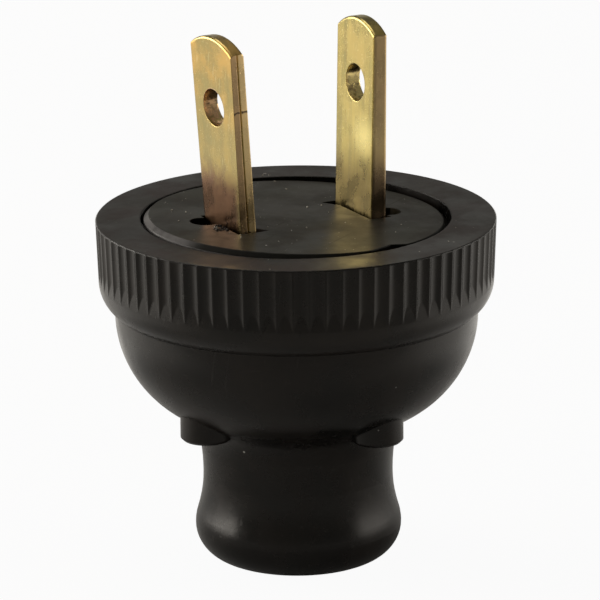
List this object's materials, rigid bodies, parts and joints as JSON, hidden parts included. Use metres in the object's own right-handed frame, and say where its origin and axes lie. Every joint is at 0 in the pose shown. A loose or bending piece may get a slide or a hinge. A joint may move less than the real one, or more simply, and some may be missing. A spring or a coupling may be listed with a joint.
{
  "type": "round rubber plug",
  "caption": "Round rubber mains plug with a fluted rim, domed back and waisted cord neck, a loose face cover and flat parallel brass blades with a hole near each tip.",
  "frame": {"origin": "centre of the cord neck's end face, the lowest point of the plug", "axes": "+Z along the plug's axis from the neck end to the blade tips, +X from the left blade to the right one"},
  "size_m": [0.0342, 0.0342, 0.0468],
  "materials": {
    "moulded_rubber": "semi-gloss, worn",
    "cover_disc": "semi-gloss, dusty",
    "blade_brass": "streaked, tarnished",
    "screw_brass": "satin"
  },
  "bodies": {
    "root": {"body": "moulded_rubber", "cover": "cover_disc", "blade_left": "blade_brass", "blade_right": "blade_brass", "terminal_screws": "screw_brass"}
  },
  "joints": []
}
